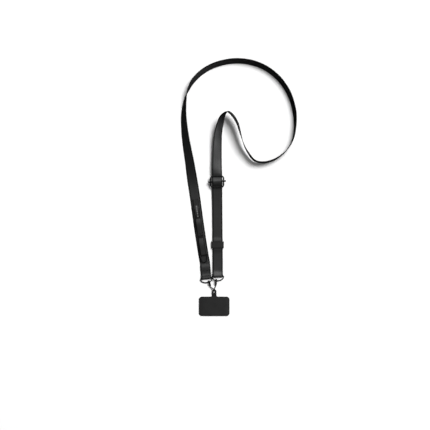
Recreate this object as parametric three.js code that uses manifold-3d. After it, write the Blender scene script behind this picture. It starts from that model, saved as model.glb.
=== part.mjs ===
import * as THREE from "three";
import { mergeVertices } from "three/addons/utils/BufferGeometryUtils.js";
import Module from "manifold-3d";

const wasm = await Module();
wasm.setup();

// A strap that carries a phone across the body, laid out on a table.
// Millimetres, +X right, +Y from the rings to the top of the neck loop, +Z up.

// Webbing
const webbingWidth = 20;
const webbingThickness = 1.2;
const layerGap = 0.2; // between two layers of one band
const pieceGap = 0.3; // between two pieces that touch
const loopLength = 424; // from the ring line to the top of the neck loop
const loopWidth = 217.4;
const crestLift = 15; // under the strap's lower edge where it turns down into the right lane
const leftTailLength = 22;
const leftTailBlend = 6;
const leftHeading = 5; // degrees, the left lane's turn to the left where it leaves its ring

// Rings at the two ends
const ringWire = 2;
const ringDepth = 10.9;
const ringCorner = 1.8;
const ringStagger = 4.1; // the right ring lies further up than the left one
const ringSpread = 9; // the webbing's layers part over this length to go round a ring

// Slider on the right lane
const sliderLength = 24.5;
const frameWire = 2.8;
const frameSideRoom = 1.3;
const frameCorner = 5;
const barRadius = 1.25;
const barSlant = 4.2; // degrees
const barKnobRadius = 1.7;
const barKnobReach = 2.3;
const eyeWall = 0.6;
const eyeLength = 3.4;
const sliderRise = 3; // the lane's height over the table beside the slider
const landingLength = 50; // along which the lane comes down to the table
const barTailLength = 25;

// Keeper round both layers of the right lane
const keeperPlace = 123.4; // from the slider's centre
const keeperLength = 13;
const keeperWall = 1;
const keeperSideRoom = 1.2;
const keeperRamp = 8;

// Utility tape and its small ring on the left lane
const tapeWidth = 11;
const tapeThickness = 1;
const tapeTop = 154.6; // from the ring line
const tapeBottom = 46.8;
const tapeBulge = 3.4;
const tapeHem = 7;
const smallRingDepth = 18;
const smallRingWire = 2;
const smallRingSideRoom = 0.8;

// Trigger clasps
const claspLength = 12;
const claspDepth = 6.2;
const claspThickness = 3.3;
const claspWall = 1.1;
const claspEyeLength = 5.1;
const wireSeat = 3.4; // from the hook's far end to the ring's wire
const wireDrop = 0.7; // the wire lies below the clasp's middle
const barrelRadius = 1.6;
const barrelLength = 2.8;
const boreDepth = 2.2;
const pinRadius = 0.5;
const bossWall = 0.7;
const leverThickness = 1.2;
const pivotPlace = 7.2;
const pivotHeight = 2;
const nubHeight = 1.2;
const leftClaspHeading = -74;
const rightClaspHeading = -93;
const leftClaspPlace = 5; // along the ring's bar from its middle to where the hook holds the bow
const rightClaspPlace = -3.4;
const leftClaspPitch = 0;
const rightClaspPitch = 8;

// Tether cord and tab
const cordDiameter = 1.8;
const tabThickness = 1.2;
const eyeletOuterRadius = 4.4;
const eyeletRadius = 2.2;
const eyeletAcross = 4.2; // from the middle between the rings
const eyeletAlong = -26.2;
const neckLength = 10.3;
const neckFillet = 3;
const cardWidth = 60;
const cardHeight = 38;
const cardCorner = 6;

// What follows from these
const layerStep = webbingThickness + layerGap;
const tableLayer = webbingThickness / 2;
const ringWrap = ringWire / 2 + pieceGap + webbingThickness / 2;
const ringInner = webbingWidth + 2 * pieceGap;
const ringOuter = ringInner + 2 * ringWire;
const ringSpacing = webbingWidth / 2 + ringOuter / 2 + pieceGap;
const ringRoll = Math.asin((ringWire + pieceGap) / (webbingWidth / 2 + (ringInner + ringWire) / 2));

const up = new THREE.Vector3(0, 0, 1);
const radians = THREE.MathUtils.degToRad;
const smooth = (x) => THREE.MathUtils.smoothstep(x, 0, 1);

// The neck loop, one row for each stretch: side says which ring a row follows, -1 left and 1 right;
// across is a share of the loop's width from that ring and along a share of its length;
// lean is in degrees, 0 flat and 90 on edge; lift is a share of the crest's lift.
const neckLoop = [
  { side: -1, across: -0.02, along: 0.093, lean: 0, lift: 0 },
  { side: -1, across: -0.065, along: 0.24, lean: 0, lift: 0 },
  { side: -1, across: -0.1, along: 0.37, lean: 0, lift: 0 },
  { side: -1, across: -0.115, along: 0.42, lean: 3, lift: 0 },
  { side: -1, across: -0.128, along: 0.461, lean: 12, lift: 0 },
  { side: -1, across: -0.149, along: 0.535, lean: 29, lift: 0 },
  { side: -1, across: -0.174, along: 0.608, lean: 39, lift: 0 },
  { side: -1, across: -0.194, along: 0.682, lean: 49, lift: 0 },
  { side: -1, across: -0.202, along: 0.755, lean: 60, lift: 0 },
  { side: -1, across: -0.197, along: 0.792, lean: 67, lift: 0 },
  { side: -1, across: -0.186, along: 0.829, lean: 76, lift: 0 },
  { side: -1, across: -0.162, along: 0.866, lean: 96, lift: 0 },
  { side: -0.8, across: -0.13, along: 0.907, lean: 108, lift: 0 },
  { side: -0.5, across: -0.05, along: 0.954, lean: 112, lift: 0 },
  { side: -0.2, across: 0.051, along: 0.984, lean: 112, lift: 0 },
  { side: 0.2, across: 0.189, along: 1, lean: 112, lift: 0 },
  { side: 0.6, across: 0.322, along: 0.993, lean: 111, lift: 0 },
  { side: 1, across: 0.44, along: 0.964, lean: 110, lift: 0 },
  { side: 1, across: 0.555, along: 0.915, lean: 109, lift: 0 },
  { side: 1, across: 0.638, along: 0.851, lean: 108, lift: 0 },
  { side: 1, across: 0.685, along: 0.774, lean: 106, lift: 0 },
  { side: 1, across: 0.694, along: 0.731, lean: 102, lift: 0 },
  { side: 1, across: 0.692, along: 0.687, lean: 96, lift: 0 },
  { side: 1, across: 0.675, along: 0.641, lean: 93, lift: 0 },
  { side: 1, across: 0.633, along: 0.599, lean: 90, lift: 0 },
  { side: 1, across: 0.567, along: 0.565, lean: 85, lift: 0 },
  { side: 1, across: 0.487, along: 0.542, lean: 83, lift: 0 },
  { side: 1, across: 0.405, along: 0.533, lean: 83, lift: 0.02 },
  { side: 1, across: 0.329, along: 0.542, lean: 84, lift: 0.15 },
  { side: 1, across: 0.2665, along: 0.581, lean: 87, lift: 0.4 },
  { side: 1, across: 0.23, along: 0.618, lean: 91, lift: 0.65 },
  { side: 1, across: 0.197, along: 0.673, lean: 100, lift: 0.9 },
  { side: 1, across: 0.175, along: 0.709, lean: 105, lift: 1 },
  { side: 1, across: 0.132, along: 0.746, lean: 108, lift: 1 },
  { side: 1, across: 0.084, along: 0.764, lean: 98, lift: 1 },
  { side: 1, across: 0.044, along: 0.746, lean: 68, lift: 0.75 },
  { side: 1, across: 0.0195, along: 0.709, lean: 50, lift: 0.42 },
  { side: 1, across: 0.0025, along: 0.667, lean: 41, lift: 0.2 },
  { side: 1, across: -0.0025, along: 0.636, lean: 35, lift: 0.15 },
  { side: 1, across: -0.0065, along: 0.59, lean: 26, lift: 0.12 },
  { side: 1, across: -0.0083, along: 0.545, lean: 19, lift: 0.18 },
  { side: 1, across: -0.0085, along: 0.505, lean: 12, lift: 0.35 },
];
const sliderAcross = -0.0068;
const sliderAlong = 0.4446;

// The tape's humps between its tacks: place is a share of its length, rise a share of the bulge
const tapeHumps = [
  { place: 0, rise: 0 },
  { place: 0.11, rise: 0 },
  { place: 0.195, rise: 0.35 },
  { place: 0.28, rise: 0 },
  { place: 0.455, rise: 1 },
  { place: 0.633, rise: 0 },
  { place: 0.86, rise: 1.1 },
];

// A solid for cutting and joining, and back to a geometry
function toSolid(geometry) {
  const bare = geometry.clone();
  bare.deleteAttribute("normal");
  bare.deleteAttribute("uv");
  const merged = mergeVertices(bare, 1e-4);
  return new wasm.Manifold(
    new wasm.Mesh({
      numProp: 3,
      vertProperties: merged.attributes.position.array,
      triVerts: new Uint32Array(merged.index.array),
    }),
  );
}

function toGeometry(solid) {
  const mesh = solid.getMesh();
  const geometry = new THREE.BufferGeometry();
  geometry.setAttribute("position", new THREE.BufferAttribute(mesh.vertProperties, 3));
  geometry.setIndex(new THREE.BufferAttribute(mesh.triVerts, 1));
  return geometry;
}

// A place with three directions: ahead and up span a plane, and across is square to it
function frameAt(origin, ahead, across) {
  const upward = new THREE.Vector3().crossVectors(across, ahead).normalize();
  const point = (u, v) => origin.clone().addScaledVector(ahead, u).addScaledVector(upward, v);
  return { origin, ahead, across, upward, point };
}

// Puts a group there, with its X to the right, its Y away from ahead and its Z upward
function placeGroup(group, frame) {
  const back = frame.ahead.clone().negate();
  const right = new THREE.Vector3().crossVectors(back, frame.upward);
  group.position.copy(frame.origin);
  group.quaternion.setFromRotationMatrix(
    new THREE.Matrix4().makeBasis(right, back, frame.upward),
  );
  return group;
}

// Half a turn round a bar at a frame's origin, from one angle to another
function halfTurn(frame, radius, fromAngle, toAngle, across) {
  const steps = 6;
  const knots = [];
  for (let i = 0; i <= steps; i++) {
    const angle = radians(THREE.MathUtils.lerp(fromAngle, toAngle, i / steps));
    knots.push({
      at: frame.point(Math.cos(angle) * radius, Math.sin(angle) * radius),
      across,
    });
  }
  return knots;
}

// The direction across a leaning band, from its line of travel
function leaningAcross(travel, lean) {
  const left = new THREE.Vector3().crossVectors(up, travel).normalize();
  const rise = new THREE.Vector3().crossVectors(travel, left).normalize();
  return left.multiplyScalar(-Math.cos(lean)).addScaledVector(rise, Math.sin(lean));
}

// A closed flat band along knots, each a place and the direction across the band there
function band(knots, width, thickness, longestStep) {
  const line = new THREE.CatmullRomCurve3(
    knots.map((k) => k.at),
    false,
    "centripetal",
  );
  const spans = knots.length - 1;
  const stations = [];
  for (let i = 0; i < spans; i++) {
    const gap = knots[i].at.distanceTo(knots[i + 1].at);
    const pieces = Math.max(1, Math.round(gap / longestStep));
    for (let j = 0; j < pieces; j++) stations.push(i + j / pieces);
  }
  stations.push(spans);
  const rows = stations.map((s) => {
    const i = Math.min(Math.floor(s), spans - 1);
    const tangent = line.getTangent(s / spans);
    const across = knots[i].across.clone().lerp(knots[i + 1].across, s - i);
    across.addScaledVector(tangent, -across.dot(tangent)).normalize();
    const normal = new THREE.Vector3().crossVectors(across, tangent);
    return { at: line.getPoint(s / spans), across, normal };
  });
  const geometry = new THREE.BoxGeometry(width, 1, thickness, 1, rows.length - 1, 1);
  const position = geometry.attributes.position;
  for (let i = 0; i < position.count; i++) {
    const row = rows[Math.round((position.getY(i) + 0.5) * (rows.length - 1))];
    const p = row.at.clone();
    p.addScaledVector(row.across, position.getX(i)).addScaledVector(row.normal, position.getZ(i));
    position.setXYZ(i, p.x, p.y, p.z);
  }
  return { geometry, line, spans };
}

// Points on part of an ellipse, in degrees
function arc(x, y, rx, ry, from, to, steps) {
  return Array.from({ length: steps + 1 }, (_, i) => {
    const angle = radians(THREE.MathUtils.lerp(from, to, i / steps));
    return new THREE.Vector2(x + rx * Math.cos(angle), y + ry * Math.sin(angle));
  });
}

// A closed loop of round wire along an outline in the XY plane that turns to the left
function wireLoop(outline, radius, sides) {
  const count = outline.length;
  const geometry = new THREE.TorusGeometry(10, 1, sides, count);
  const position = geometry.attributes.position;
  for (let j = 0; j <= sides; j++) {
    for (let i = 0; i <= count; i++) {
      const here = outline[i % count];
      const before = outline[(i + count - 1) % count];
      const after = outline[(i + 1) % count];
      const along = after.clone().sub(before).normalize();
      const outward = new THREE.Vector2(along.y, -along.x);
      const angle = ((j % sides) / sides) * 2 * Math.PI;
      const p = here.clone().addScaledVector(outward, radius * Math.cos(angle));
      position.setXYZ(j * (count + 1) + i, p.x, p.y, radius * Math.sin(angle));
    }
  }
  return geometry;
}

// A D-shaped ring whose bar lies on the X axis and whose bow hangs towards -Y
function ringGeometry(inner, depth, wire, corner) {
  const half = (inner + wire) / 2;
  const outline = [
    ...arc(half - corner, -corner, corner, corner, 0, 90, 3),
    ...arc(corner - half, -corner, corner, corner, 90, 180, 3),
    ...arc(0, -corner, half, depth - wire - corner, 180, 360, 14).slice(1, -1),
  ];
  return wireLoop(outline, wire / 2, 8);
}

// How far below the bar the bow's wire is, at a place along the bar
function bowDepth(inner, depth, wire, corner, place) {
  const half = (inner + wire) / 2;
  return corner + (depth - wire - corner) * Math.sqrt(1 - (place / half) ** 2);
}

// A round rod between two points
function rod(from, to, radius, sides) {
  const length = from.distanceTo(to);
  const geometry = new THREE.CylinderGeometry(radius, radius, length, sides);
  const direction = to.clone().sub(from).normalize();
  geometry.applyQuaternion(
    new THREE.Quaternion().setFromUnitVectors(new THREE.Vector3(0, 1, 0), direction),
  );
  const middle = from.clone().add(to).multiplyScalar(0.5);
  return geometry.translate(middle.x, middle.y, middle.z);
}

function rodSolid(from, to, radius, sides) {
  return toSolid(rod(new THREE.Vector3(...from), new THREE.Vector3(...to), radius, sides));
}

function boxSolid(low, high) {
  const size = high.map((value, i) => value - low[i]);
  const box = new THREE.BoxGeometry(...size);
  return toSolid(box.translate(...low.map((value, i) => value + size[i] / 2)));
}

// Materials
const webbingBlack = new THREE.MeshStandardMaterial({ color: 0x1c1d20, roughness: 0.75 });
const metalBlack = new THREE.MeshStandardMaterial({ color: 0x141416, roughness: 0.35, metalness: 0.6 });
const tabBlack = new THREE.MeshStandardMaterial({ color: 0x18191b, roughness: 0.5 });
const cordBlack = new THREE.MeshStandardMaterial({ color: 0x101012, roughness: 0.8 });

function named(name, geometry, material) {
  const mesh = new THREE.Mesh(geometry, material);
  mesh.name = name;
  return mesh;
}

// Left ring, flat on the table, and the end of the webbing folded round its bar
const leftAhead = new THREE.Vector3(Math.sin(radians(leftHeading)), -Math.cos(radians(leftHeading)), 0);
const leftFrame = frameAt(
  new THREE.Vector3(-ringSpacing / 2, 0, tableLayer + ringWrap),
  leftAhead,
  new THREE.Vector3().crossVectors(leftAhead, up),
);

function leftEndKnots() {
  // The band is travelled up this lane, away from the ring
  const across = leftFrame.across.clone().negate();
  const knot = (u, v) => ({ at: leftFrame.point(u, v), across });
  const above = layerStep - ringWrap;
  return [
    knot(-leftTailLength, -ringWrap),
    knot(-leftTailLength / 2, -ringWrap),
    knot(-ringSpread / 2, -ringWrap),
    ...halfTurn(leftFrame, ringWrap, -90, 90, across),
    knot(-ringSpread / 2, (ringWrap + above) / 2),
    knot(-ringSpread, above),
    knot(-leftTailLength, above),
    knot(-leftTailLength - leftTailBlend, -ringWrap),
    knot(-leftTailLength - leftTailBlend * 1.4, -ringWrap),
  ];
}

// The right lane runs straight from the slider to its ring
const sliderPlace = new THREE.Vector3(
  ringSpacing / 2 + sliderAcross * loopWidth,
  sliderAlong * loopLength,
  0,
);
const rightRingPlace = new THREE.Vector3(ringSpacing / 2, ringStagger, 0);
const laneLength = sliderPlace.distanceTo(rightRingPlace);
const laneAhead = rightRingPlace.clone().sub(sliderPlace).normalize();
const laneAcross = new THREE.Vector3().crossVectors(laneAhead, up);

const frameReach = (sliderLength - frameWire) / 2;
const landingStart = frameReach + 1;
const sliderPitch = Math.atan((2 * sliderRise) / landingLength);

// The right lane's lower layer: its height, its roll towards the ring and the layers' distance
function laneHeight(s) {
  const landed = THREE.MathUtils.clamp((s - landingStart) / landingLength, 0, 1);
  const fromKeeper = Math.abs(s - keeperPlace) - keeperLength / 2;
  const onKeeper = 1 - smooth((fromKeeper - 1) / keeperRamp);
  const roll = (webbingWidth / 2) * Math.sin(laneRoll(s));
  return tableLayer + sliderRise * (1 - landed) ** 2 + (keeperWall + pieceGap) * onKeeper + roll;
}

const rollLength = 36; // over which the lane takes up the ring's roll

function laneRoll(s) {
  return ringRoll * smooth((s - laneLength + rollLength) / rollLength);
}

function laneSpread(s) {
  return layerStep + (2 * ringWrap - layerStep) * smooth((s - laneLength + ringSpread) / ringSpread);
}

function rolledAcross(s) {
  const roll = laneRoll(s);
  return laneAcross.clone().multiplyScalar(Math.cos(roll)).addScaledVector(up, Math.sin(roll));
}

function laneKnot(s, layer) {
  const at = sliderPlace.clone().addScaledVector(laneAhead, s);
  at.z = laneHeight(s) + layer * laneSpread(s);
  return { at, across: rolledAcross(s) };
}

const keeperStops = [-1.4, -1.1, -0.9, -0.7, -0.45, 0, 0.45, 0.7, 0.9, 1.1, 1.4].map(
  (share) => keeperPlace + share * (keeperLength / 2 + keeperRamp),
);
const laneStops = [
  landingStart + landingLength * 0.25,
  landingStart + landingLength * 0.5,
  landingStart + landingLength * 0.75,
  landingStart + landingLength,
  ...keeperStops,
  laneLength - ringSpread * 2,
  laneLength - ringSpread,
  laneLength - ringSpread / 2,
];

const rightRingCentre = rightRingPlace.clone();
rightRingCentre.z = laneHeight(laneLength) + ringWrap;
const rightFrame = frameAt(rightRingCentre, laneAhead, rolledAcross(laneLength));

// Slider: the lane dips under the frame's end bars and rides over its centre bar
const barWrap = barRadius + pieceGap + webbingThickness / 2;
const overBar = barWrap + layerStep;
const underFrame = -(frameWire / 2 + pieceGap + webbingThickness / 2);
const pitchedAhead = laneAhead
  .clone()
  .multiplyScalar(Math.cos(sliderPitch))
  .addScaledVector(up, -Math.sin(sliderPitch));
const sliderOrigin = sliderPlace.clone();
sliderOrigin.z =
  laneHeight(landingStart) +
  layerStep +
  landingStart * Math.sin(sliderPitch) -
  underFrame * Math.cos(sliderPitch);
const sliderFrame = frameAt(sliderOrigin, pitchedAhead, laneAcross);

function runningHeight(u) {
  const share = Math.min(1, Math.abs(u) / frameReach);
  return underFrame + ((overBar - underFrame) * (1 + Math.cos(Math.PI * share))) / 2;
}

function slantedAcross(u) {
  const slant = radians(barSlant) * (1 - smooth(Math.abs(u) / frameReach));
  return laneAcross
    .clone()
    .multiplyScalar(Math.cos(slant))
    .addScaledVector(pitchedAhead, Math.sin(slant));
}

function runningKnot(u) {
  return { at: sliderFrame.point(u, runningHeight(u)), across: slantedAcross(u) };
}

// The returning layer lies one layer below, square to the running one
function returningKnot(u) {
  const probe = 0.01;
  const slope = (runningHeight(u + probe) - runningHeight(u - probe)) / (2 * probe);
  const size = Math.hypot(1, slope);
  return {
    at: sliderFrame.point(u + (layerStep * slope) / size, runningHeight(u) - layerStep / size),
    across: slantedAcross(u),
  };
}

const sliderStops = [-1.3, -1, -0.83, -0.67, -0.5, -0.33, -0.17, 0, 0.17, 0.33, 0.5, 0.67, 0.83, 1];

// Below the bar the sewn end goes back under the returning layer
function barTailKnots() {
  const drop = 2 * layerStep + layerGap / 2 - underFrame - barWrap;
  const across = slantedAcross(0);
  const knots = [0.3, 0.65, 1].map((share) => ({
    at: sliderFrame.point(share * frameReach, -barWrap - drop * smooth(share)),
    across: slantedAcross(share * frameReach),
  }));
  const end = laneKnot(barTailLength, -1);
  return [...halfTurn(sliderFrame, barWrap, 90, 270, across), ...knots, end];
}

function neckLoopKnots() {
  return neckLoop.map((row) => {
    const lean = radians(row.lean);
    const x = (row.side * ringSpacing) / 2 + row.across * loopWidth;
    const edge = (webbingWidth / 2) * Math.sin(lean) + tableLayer * Math.abs(Math.cos(lean));
    return {
      at: new THREE.Vector3(x, row.along * loopLength, edge + row.lift * crestLift),
      lean,
    };
  });
}

function strapKnots() {
  const knots = [
    ...leftEndKnots(),
    ...neckLoopKnots(),
    ...sliderStops.map((share) => runningKnot(share * frameReach)),
    ...laneStops.map((s) => laneKnot(s, 1)),
    ...halfTurn(rightFrame, ringWrap, 90, -90, rightFrame.across),
    ...laneStops.toReversed().map((s) => laneKnot(s, 0)),
    ...sliderStops
      .filter((share) => share > 0)
      .toReversed()
      .map((share) => returningKnot(share * frameReach)),
    ...barTailKnots(),
  ];
  knots.forEach((knot, i) => {
    if (knot.lean === undefined) return;
    const travel = knots[i + 1].at.clone().sub(knots[i - 1].at).normalize();
    knot.across = leaningAcross(travel, knot.lean);
  });
  return knots;
}

const strapStep = 7;
const strap = band(strapKnots(), webbingWidth, webbingThickness, strapStep);

// The left lane at a distance from the ring line: its place on the table and its directions
function leftLaneFrame(along, height) {
  let low = leftEndKnots().length - 1;
  let high = low + neckLoop.findIndex((row) => row.side > -1);
  const halvings = 30;
  for (let i = 0; i < halvings; i++) {
    const middle = (low + high) / 2;
    if (strap.line.getPoint(middle / strap.spans).y < along) low = middle;
    else high = middle;
  }
  const at = strap.line.getPoint(low / strap.spans);
  const ahead = strap.line.getTangent(low / strap.spans).negate();
  ahead.z = 0;
  ahead.normalize();
  at.z = height;
  return frameAt(at, ahead, new THREE.Vector3().crossVectors(ahead, up));
}

// Utility tape: tacked down in humps, its lower end folded round the small ring
const tapeRest = webbingThickness + pieceGap + tapeThickness / 2;
const tapeWrap = smallRingWire / 2 + pieceGap + tapeThickness / 2;
const smallRingHeight = tapeRest + tapeWrap;

function tapeHeight(share) {
  const fold = { place: 1, rise: (2 * tapeWrap) / tapeBulge };
  const humps = [...tapeHumps, fold];
  const next = humps.findIndex((hump, i) => i > 0 && share <= hump.place);
  const a = humps[next - 1];
  const b = humps[next];
  const rise = THREE.MathUtils.lerp(a.rise, b.rise, smooth((share - a.place) / (b.place - a.place)));
  return tapeRest + tapeBulge * rise;
}

const tapeStep = 4;

function tapeKnots() {
  const steps = 30;
  const knots = [];
  for (let i = 0; i < steps; i++) {
    const along = THREE.MathUtils.lerp(tapeTop, tapeBottom, i / steps);
    const frame = leftLaneFrame(along, tapeHeight(i / steps));
    knots.push({ at: frame.origin, across: frame.across });
  }
  const fold = leftLaneFrame(tapeBottom, smallRingHeight);
  knots.push(...halfTurn(fold, tapeWrap, 90, -90, fold.across));
  knots.push({ at: fold.point(-tapeHem, -tapeWrap), across: fold.across });
  return knots;
}

function smallRing() {
  const frame = leftLaneFrame(tapeBottom, smallRingHeight);
  const inner = tapeWidth + 2 * smallRingSideRoom;
  const mesh = named(
    "accessory_ring",
    ringGeometry(inner, smallRingDepth, smallRingWire, ringCorner),
    metalBlack,
  );
  const rest = webbingThickness + pieceGap + smallRingWire / 2;
  mesh.rotation.x = Math.asin((smallRingHeight - rest) / (smallRingDepth - smallRingWire));
  return placeGroup(new THREE.Group(), frame).add(mesh);
}

function slider() {
  const inner = webbingWidth + 2 * frameSideRoom;
  const halfX = (inner + frameWire) / 2;
  const x = halfX - frameCorner;
  const y = frameReach - frameCorner;
  const outline = [
    ...arc(x, y, frameCorner, frameCorner, 0, 90, 5),
    ...arc(-x, y, frameCorner, frameCorner, 90, 180, 5),
    ...arc(-x, -y, frameCorner, frameCorner, 180, 270, 5),
    ...arc(x, -y, frameCorner, frameCorner, 270, 360, 5),
  ];
  const frame = named("slider_frame", wireLoop(outline, frameWire / 2, 10), metalBlack);
  const boreRadius = frameWire / 2 + pieceGap;
  const eyeRadius = boreRadius + eyeWall;
  const end = halfX + eyeRadius + barKnobReach;
  let bar = rodSolid([-end + barKnobReach, 0, 0], [end - barKnobReach, 0, 0], barRadius, 12);
  for (const side of [-1, 1]) {
    const eye = rodSolid(
      [side * halfX, -eyeLength / 2, 0],
      [side * halfX, eyeLength / 2, 0],
      eyeRadius,
      14,
    );
    const knobStart = side * (halfX + boreRadius + eyeWall / 2);
    const knob = rodSolid([knobStart, 0, 0], [side * end, 0, 0], barKnobRadius, 12);
    bar = bar.add(eye).add(knob);
  }
  for (const side of [-1, 1]) {
    const from = [side * halfX, -eyeLength, 0];
    const to = [side * halfX, eyeLength, 0];
    bar = bar.subtract(rodSolid(from, to, boreRadius, 14));
  }
  const barMesh = named("slider_bar", toGeometry(bar), metalBlack);
  barMesh.rotation.z = radians(barSlant);
  return placeGroup(new THREE.Group(), sliderFrame).add(frame, barMesh);
}

function keeper() {
  const halfWidth = webbingWidth / 2 + keeperSideRoom;
  const height = webbingThickness + layerStep + 2 * pieceGap;
  const outline = (grow, corner) => {
    const x = halfWidth + grow;
    const low = -grow;
    const high = height + grow;
    return [
      ...arc(x - corner, high - corner, corner, corner, 0, 90, 3),
      ...arc(corner - x, high - corner, corner, corner, 90, 180, 3),
      ...arc(corner - x, low + corner, corner, corner, 180, 270, 3),
      ...arc(x - corner, low + corner, corner, corner, 270, 360, 3),
    ];
  };
  const innerCorner = 0.4;
  const shape = new THREE.Shape(outline(keeperWall, innerCorner + keeperWall));
  shape.holes.push(new THREE.Path(outline(0, innerCorner)));
  const geometry = new THREE.ExtrudeGeometry(shape, { depth: keeperLength, bevelEnabled: false });
  geometry.translate(0, 0, -keeperLength / 2).rotateX(Math.PI / 2);
  const origin = sliderPlace.clone().addScaledVector(laneAhead, keeperPlace);
  origin.z = keeperWall;
  const mesh = named("keeper_loop", geometry, webbingBlack);
  return placeGroup(new THREE.Group(), frameAt(origin, laneAhead, laneAcross)).add(mesh);
}

function endRing(name, frame) {
  const mesh = named(name, ringGeometry(ringInner, ringDepth, ringWire, ringCorner), metalBlack);
  return placeGroup(new THREE.Group(), frame).add(mesh);
}

// A clasp in its own plane: X from the ring to the tail, Y its thickness, Z towards the gate,
// with the ring's wire at the origin
function extrudeAcross(points, thickness) {
  const geometry = new THREE.ExtrudeGeometry(new THREE.Shape(points), {
    depth: thickness,
    bevelEnabled: false,
  });
  return toSolid(geometry.translate(0, 0, -thickness / 2).rotateX(Math.PI / 2));
}

const bossRadius = pinRadius + pieceGap + bossWall;

function claspBody() {
  const half = claspDepth / 2;
  const inside = half - claspWall;
  const eyeEnd = claspWall + claspEyeLength;
  const bodyEnd = claspLength - barrelLength;
  const cheekTop = pivotHeight + bossRadius + 0.1;
  const edge = claspWall / 2;
  const point = (x, y) => new THREE.Vector2(x, y);
  const hook = extrudeAcross(
    [
      point(bodyEnd + edge, -barrelRadius),
      point(bodyEnd - edge, -half * 0.8),
      point(pivotPlace, -half),
      ...arc(half, 0, half, half, 270, 90, 12),
      ...arc(half, 0, inside, inside, 90, 270, 10),
      point(eyeEnd - edge, -inside),
      point(eyeEnd, edge - inside),
      point(eyeEnd, cheekTop - edge),
      point(eyeEnd + edge, cheekTop),
      point(pivotPlace + edge, cheekTop),
      point(bodyEnd - edge, barrelRadius + edge),
      point(bodyEnd + edge, barrelRadius),
    ],
    claspThickness,
  );
  const slotHalf = leverThickness / 2 + pieceGap;
  const slot = boxSolid(
    [eyeEnd - claspWall, -slotHalf, pivotHeight - bossRadius - pieceGap],
    [pivotPlace + bossRadius + pieceGap, slotHalf, claspDepth],
  );
  const barrel = rodSolid([bodyEnd, 0, 0], [claspLength, 0, 0], barrelRadius, 14);
  const boreStart = claspLength - boreDepth;
  const boreRadius = cordDiameter / 2 + pieceGap;
  const bore = rodSolid([boreStart, 0, 0], [boreStart + 2 * boreDepth, 0, 0], boreRadius, 12);
  const pin = rodSolid(
    [pivotPlace, -claspThickness / 2, pivotHeight],
    [pivotPlace, claspThickness / 2, pivotHeight],
    pinRadius,
    10,
  );
  const solid = hook.subtract(slot).add(barrel).subtract(bore).add(pin);
  return toGeometry(solid).translate(-wireSeat, 0, wireDrop);
}

// The gate turns on the clasp's pin, which is at its origin
function claspLever() {
  const half = claspDepth / 2;
  const tip = half + pieceGap - pivotPlace;
  const top = half - pivotHeight;
  const point = (x, y) => new THREE.Vector2(x, y);
  const arm = extrudeAcross(
    [
      point(tip, top - claspWall),
      point(0, top - claspWall),
      point(0.4, top),
      point(-0.9, top),
      point(-1.2, top + nubHeight),
      point(-2.2, top + nubHeight),
      point(-2.5, top),
      point(tip, top),
    ],
    leverThickness,
  );
  const boss = rodSolid([0, -leverThickness / 2, 0], [0, leverThickness / 2, 0], bossRadius, 14);
  const bore = rodSolid([0, -leverThickness, 0], [0, leverThickness, 0], pinRadius + pieceGap, 12);
  return toGeometry(arm.add(boss).subtract(bore));
}

function clasp(side, ringFrame, place, heading, pitch) {
  const depth = bowDepth(ringInner, ringDepth, ringWire, ringCorner, place);
  const group = new THREE.Group();
  const right = new THREE.Vector3().crossVectors(ringFrame.upward, ringFrame.ahead);
  group.position.copy(ringFrame.point(depth, 0)).addScaledVector(right, place);
  group.rotation.set(0, radians(pitch), radians(heading), "ZYX");
  const lever = named(side + "_clasp_lever", claspLever(), metalBlack);
  lever.position.set(pivotPlace - wireSeat, 0, pivotHeight + wireDrop);
  return group.add(named(side + "_clasp", claspBody(), metalBlack), lever);
}

// The cord's stations on a clasp's axis, counted from the hook's far end
function onClasp(group, distance) {
  group.updateMatrixWorld(true);
  return new THREE.Vector3(distance - wireSeat, 0, wireDrop).applyMatrix4(group.matrixWorld);
}

// The tab's underside is lifted at the eyelet, so that the cord passes below its rim
const cordFloor = 0.05; // under the cord there
const eyeletLift = cordFloor + cordDiameter + pieceGap;
const cordClear = cordDiameter / 2 + pieceGap;

function tetherCord(leftClasp, rightClasp) {
  const overRim = eyeletLift + tabThickness + cordClear;
  const underRim = eyeletLift - cordClear;
  const throughHole = eyeletRadius - cordClear;
  const atEyelet = (x, y, z) => new THREE.Vector3(eyeletAcross + x, eyeletAlong + y, z);
  const route = new THREE.CatmullRomCurve3(
    [
      onClasp(leftClasp, claspLength - boreDepth + pieceGap),
      onClasp(leftClasp, claspLength),
      onClasp(leftClasp, claspLength + 1.5),
      atEyelet(-4.2, 6.9, overRim - 0.6),
      atEyelet(-1.5, 4.9, overRim),
      atEyelet(-0.7, 3.1, overRim),
      atEyelet(-0.25, throughHole + 0.55, overRim - 0.35),
      atEyelet(0, throughHole - 0.1, eyeletLift + tabThickness / 2),
      atEyelet(0.15, throughHole + 0.55, underRim + 0.35),
      atEyelet(0.35, 3.1, underRim),
      atEyelet(0.6, 4.9, underRim),
      atEyelet(1.8, 8.1, underRim + 1.1),
      onClasp(rightClasp, claspLength + 1.5),
      onClasp(rightClasp, claspLength),
      onClasp(rightClasp, claspLength - boreDepth + pieceGap),
    ],
    false,
    "centripetal",
  );
  const section = new THREE.Shape(arc(0, 0, cordDiameter / 2, cordDiameter / 2, 0, 315, 7));
  const geometry = new THREE.ExtrudeGeometry(section, {
    steps: 34,
    bevelEnabled: false,
    extrudePath: route,
  });
  return named("tether_cord", geometry, cordBlack);
}

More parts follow.
